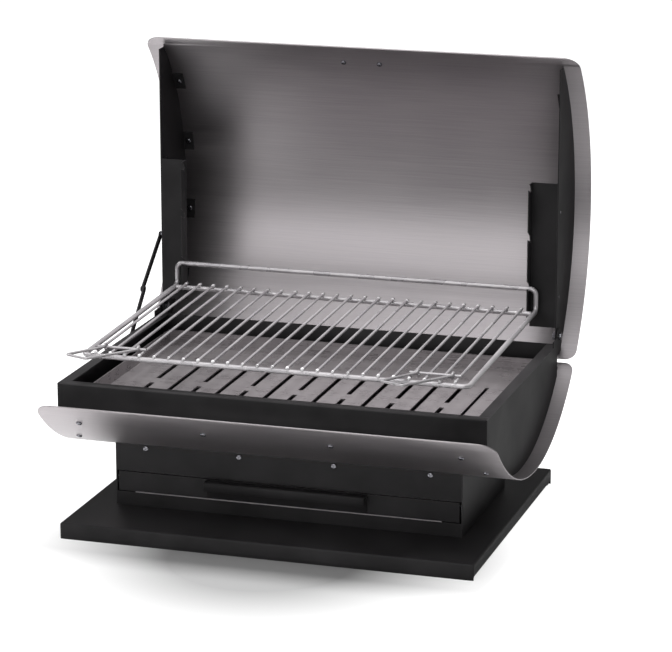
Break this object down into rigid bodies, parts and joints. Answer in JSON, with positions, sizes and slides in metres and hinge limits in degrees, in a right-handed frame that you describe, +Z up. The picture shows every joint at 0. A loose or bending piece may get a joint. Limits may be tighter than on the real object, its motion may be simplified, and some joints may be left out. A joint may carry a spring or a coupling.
{
  "type": "charcoal barbecue grill",
  "caption": "Table charcoal barbecue with a hinged curved hood, a wire cooking grid hung on notched strips, a slotted coal tray in a curved shell and an ash drawer in its pedestal.",
  "frame": {"origin": "the centre of the bounding box in plan, on the surface that the base stands on", "axes": "+X is to the right for the person who cooks, and it is the longest extent. The front with the ash drawer faces -Y and the hinged hood is at +Y. +Z is up."},
  "size_m": [0.6, 0.5066, 0.5818],
  "materials": {
    "painted_black_steel": "satin black stove paint on sheet steel",
    "stainless_sheet": "stainless sheet, brushed along the width",
    "zinc_plated_steel": "bright zinc-plated fasteners and runners",
    "grey_steel": "plain grey sheet steel with a dull rolled face",
    "chromed_wire": "chromed steel wire, slightly dull"
  },
  "bodies": {
    "stand": {"base_plate": "painted_black_steel", "pedestal_front_band": "painted_black_steel", "pedestal_front_rail": "painted_black_steel", "pedestal_side_left": "painted_black_steel", "pedestal_side_right": "painted_black_steel", "pedestal_rear": "painted_black_steel", "shell_bracket_front": "painted_black_steel", "shell_bracket_rear": "painted_black_steel", "pedestal_screws": "zinc_plated_steel", "base_screws": "zinc_plated_steel", "bracket_screws": "zinc_plated_steel", "drawer_runner_left": "zinc_plated_steel", "drawer_runner_right": "zinc_plated_steel", "lower_shell": "stainless_sheet", "firebox_front": "painted_black_steel", "firebox_rear": "painted_black_steel", "firebox_side_left": "painted_black_steel", "firebox_side_right": "painted_black_steel", "shell_screws": "zinc_plated_steel", "tray_ledge_front": "painted_black_steel", "tray_ledge_rear": "painted_black_steel", "lid_pivot_bolts": "zinc_plated_steel", "lid_pivot_washers": "zinc_plated_steel", "stay_base_rivet": "zinc_plated_steel"},
    "hood": {"lid_shell": "stainless_sheet", "lid_side_left": "painted_black_steel", "lid_side_right": "painted_black_steel", "lid_screws": "zinc_plated_steel", "grid_hanger_left": "painted_black_steel", "grid_hanger_right": "painted_black_steel", "hanger_screws": "zinc_plated_steel", "lid_handle": "painted_black_steel", "lid_handle_screws": "zinc_plated_steel", "stay_lid_rivet": "zinc_plated_steel"},
    "stay_upper_link": {"stay_upper": "painted_black_steel", "stay_elbow_rivet": "zinc_plated_steel"},
    "stay_lower_link": {"stay_lower": "painted_black_steel"},
    "ash_drawer": {"ash_drawer_pan": "stainless_sheet", "drawer_front": "painted_black_steel", "drawer_handle": "painted_black_steel", "drawer_rivets": "painted_black_steel"},
    "charcoal_tray": {"charcoal_tray": "grey_steel"},
    "cooking_grid": {"grid_frame": "chromed_wire", "grid_rear_rail": "chromed_wire", "grid_wires": "chromed_wire", "grid_handle_pins": "chromed_wire"},
    "left_grid_handle": {"grid_handle_left": "chromed_wire"},
    "right_grid_handle": {"grid_handle_right": "chromed_wire"}
  },
  "joints": [
    {"name": "hood_hinge", "type": "hinge", "parent": "stand", "child": "hood", "pos_m": [0, 0.16234, 0.207], "axis": [1, 0, 0], "range_deg": [0, 90]},
    {"name": "stay_upper_turn", "type": "hinge", "parent": "hood", "child": "stay_upper_link", "pos_m": [-0.2848, 0.17034, 0.3055], "axis": [1, 0, 0], "range_deg": [-157.21, 0]},
    {"name": "stay_lower_turn", "type": "hinge", "parent": "stand", "child": "stay_lower_link", "pos_m": [-0.2824, 0.03074, 0.1783], "axis": [1, 0, 0], "range_deg": [0, 78.43]},
    {"name": "grid_lift_off", "type": "slide", "parent": "stand", "child": "cooking_grid", "axis": [0, -0.9063, 0.4226], "range_m": [0, 0.63]},
    {"name": "left_grid_handle_turn", "type": "hinge", "parent": "cooking_grid", "child": "left_grid_handle", "pos_m": [-0.2058, -0.1839, 0.24174], "axis": [-1, 0, 0], "range_deg": [0, 95]},
    {"name": "right_grid_handle_turn", "type": "hinge", "parent": "cooking_grid", "child": "right_grid_handle", "pos_m": [0.2058, -0.1839, 0.24174], "axis": [-1, 0, 0], "range_deg": [0, 95]},
    {"name": "charcoal_tray_lift", "type": "slide", "parent": "stand", "child": "charcoal_tray", "axis": [0, 0, 1], "range_m": [0, 0.015]},
    {"name": "ash_drawer_slide", "type": "slide", "parent": "stand", "child": "ash_drawer", "axis": [0, -1, 0], "range_m": [0, 0.17]}
  ],
  "couplings": [
    {"joint": "stay_upper_turn", "follows": "hood_hinge", "ratio": -1.7356},
    {"joint": "stay_lower_turn", "follows": "hood_hinge", "ratio": 0.86038},
    {"joint": "grid_lift_off", "follows": "hood_hinge", "m_per_rad": 0.4}
  ]
}
